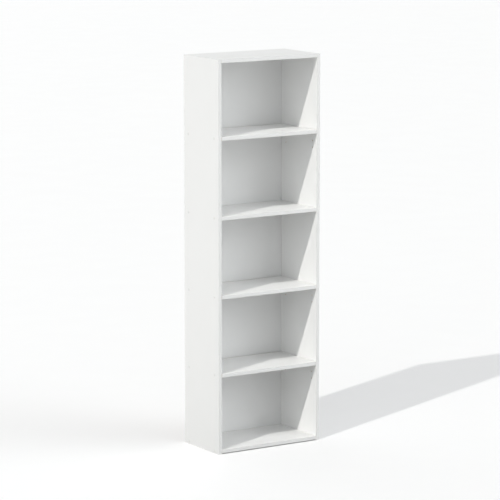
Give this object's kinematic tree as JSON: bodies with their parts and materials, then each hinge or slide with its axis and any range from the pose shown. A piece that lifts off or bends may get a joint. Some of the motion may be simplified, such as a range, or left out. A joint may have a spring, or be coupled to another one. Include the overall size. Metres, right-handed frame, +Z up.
{
  "type": "bookcase with adjustable shelves",
  "caption": "Tall narrow white open bookcase with full-height sides, fixed top, bottom and middle shelf, and loose shelves standing on removable pins.",
  "frame": {"origin": "centre of the footprint, on the floor", "axes": "+Z up, +X to the right across the front, -Y out of the open front, +Y towards the back and the wall"},
  "size_m": [0.5482, 0.3, 1.8],
  "materials": {
    "white_board": "chipboard faced in smooth matt white melamine",
    "white_back": "thin hardboard, white lacquered on the inner face",
    "white_plastic": "smooth white moulded caps",
    "zinc_steel": "bright zinc plated",
    "nickel_steel": "nickel plated, turned",
    "zinc_alloy": "die-cast zinc alloy, satin"
  },
  "bodies": {
    "carcass": {"left_side_panel": "white_board", "right_side_panel": "white_board", "top_panel": "white_board", "bottom_panel": "white_board", "fixed_middle_shelf": "white_board", "back_panel": "white_back", "assembly_screw_bottom_left_front": "zinc_steel", "screw_cap_bottom_left_front": "white_plastic", "assembly_screw_bottom_left_rear": "zinc_steel", "screw_cap_bottom_left_rear": "white_plastic", "assembly_screw_bottom_right_front": "zinc_steel", "screw_cap_bottom_right_front": "white_plastic", "assembly_screw_bottom_right_rear": "zinc_steel", "screw_cap_bottom_right_rear": "white_plastic", "hole_cap_lowest_left_front": "white_plastic", "hole_cap_lowest_left_rear": "white_plastic", "hole_cap_lowest_right_front": "white_plastic", "hole_cap_lowest_right_rear": "white_plastic", "hole_cap_lower_middle_left_front": "white_plastic", "hole_cap_lower_middle_left_rear": "white_plastic", "hole_cap_lower_middle_right_front": "white_plastic", "hole_cap_lower_middle_right_rear": "white_plastic", "assembly_screw_middle_left_front": "zinc_steel", "screw_cap_middle_left_front": "white_plastic", "assembly_screw_middle_left_rear": "zinc_steel", "screw_cap_middle_left_rear": "white_plastic", "assembly_screw_middle_right_front": "zinc_steel", "screw_cap_middle_right_front": "white_plastic", "assembly_screw_middle_right_rear": "zinc_steel", "screw_cap_middle_right_rear": "white_plastic", "hole_cap_upper_left_front": "white_plastic", "hole_cap_upper_left_rear": "white_plastic", "hole_cap_upper_right_front": "white_plastic", "hole_cap_upper_right_rear": "white_plastic", "cam_lock_left_front": "zinc_alloy", "cam_bolt_left_front": "nickel_steel", "cam_lock_left_rear": "zinc_alloy", "cam_bolt_left_rear": "nickel_steel", "cam_lock_right_front": "zinc_alloy", "cam_bolt_right_front": "nickel_steel", "cam_lock_right_rear": "zinc_alloy", "cam_bolt_right_rear": "nickel_steel", "wall_bracket": "zinc_steel", "bracket_screw": "zinc_steel"},
    "lowest_shelf": {"lowest_adjustable_shelf": "white_board"},
    "lower_middle_shelf": {"lower_middle_adjustable_shelf": "white_board"},
    "upper_shelf": {"upper_adjustable_shelf": "white_board"},
    "pin_lowest_left_front": {"shelf_pin_lowest_left_front": "nickel_steel"},
    "pin_lowest_left_rear": {"shelf_pin_lowest_left_rear": "nickel_steel"},
    "pin_lowest_right_front": {"shelf_pin_lowest_right_front": "nickel_steel"},
    "pin_lowest_right_rear": {"shelf_pin_lowest_right_rear": "nickel_steel"},
    "pin_lower_middle_left_front": {"shelf_pin_lower_middle_left_front": "nickel_steel"},
    "pin_lower_middle_left_rear": {"shelf_pin_lower_middle_left_rear": "nickel_steel"},
    "pin_lower_middle_right_front": {"shelf_pin_lower_middle_right_front": "nickel_steel"},
    "pin_lower_middle_right_rear": {"shelf_pin_lower_middle_right_rear": "nickel_steel"},
    "pin_upper_left_front": {"shelf_pin_upper_left_front": "nickel_steel"},
    "pin_upper_left_rear": {"shelf_pin_upper_left_rear": "nickel_steel"},
    "pin_upper_right_front": {"shelf_pin_upper_right_front": "nickel_steel"},
    "pin_upper_right_rear": {"shelf_pin_upper_right_rear": "nickel_steel"}
  },
  "joints": [
    {"name": "lowest_shelf_lift", "type": "slide", "parent": "carcass", "child": "lowest_shelf", "axis": [0, 0, 1], "range_m": [0, 0.335]},
    {"name": "lower_middle_shelf_lift", "type": "slide", "parent": "carcass", "child": "lower_middle_shelf", "axis": [0, 0, 1], "range_m": [0, 0.342]},
    {"name": "upper_shelf_lift", "type": "slide", "parent": "carcass", "child": "upper_shelf", "axis": [0, 0, 1], "range_m": [0, 0.327]},
    {"name": "pin_lowest_left_front_pull", "type": "slide", "parent": "carcass", "child": "pin_lowest_left_front", "axis": [1, 0, 0], "range_m": [0, 0.009]},
    {"name": "pin_lowest_left_rear_pull", "type": "slide", "parent": "carcass", "child": "pin_lowest_left_rear", "axis": [1, 0, 0], "range_m": [0, 0.009]},
    {"name": "pin_lowest_right_front_pull", "type": "slide", "parent": "carcass", "child": "pin_lowest_right_front", "axis": [-1, 0, 0], "range_m": [0, 0.009]},
    {"name": "pin_lowest_right_rear_pull", "type": "slide", "parent": "carcass", "child": "pin_lowest_right_rear", "axis": [-1, 0, 0], "range_m": [0, 0.009]},
    {"name": "pin_lower_middle_left_front_pull", "type": "slide", "parent": "carcass", "child": "pin_lower_middle_left_front", "axis": [1, 0, 0], "range_m": [0, 0.009]},
    {"name": "pin_lower_middle_left_rear_pull", "type": "slide", "parent": "carcass", "child": "pin_lower_middle_left_rear", "axis": [1, 0, 0], "range_m": [0, 0.009]},
    {"name": "pin_lower_middle_right_front_pull", "type": "slide", "parent": "carcass", "child": "pin_lower_middle_right_front", "axis": [-1, 0, 0], "range_m": [0, 0.009]},
    {"name": "pin_lower_middle_right_rear_pull", "type": "slide", "parent": "carcass", "child": "pin_lower_middle_right_rear", "axis": [-1, 0, 0], "range_m": [0, 0.009]},
    {"name": "pin_upper_left_front_pull", "type": "slide", "parent": "carcass", "child": "pin_upper_left_front", "axis": [1, 0, 0], "range_m": [0, 0.009]},
    {"name": "pin_upper_left_rear_pull", "type": "slide", "parent": "carcass", "child": "pin_upper_left_rear", "axis": [1, 0, 0], "range_m": [0, 0.009]},
    {"name": "pin_upper_right_front_pull", "type": "slide", "parent": "carcass", "child": "pin_upper_right_front", "axis": [-1, 0, 0], "range_m": [0, 0.009]},
    {"name": "pin_upper_right_rear_pull", "type": "slide", "parent": "carcass", "child": "pin_upper_right_rear", "axis": [-1, 0, 0], "range_m": [0, 0.009]}
  ]
}
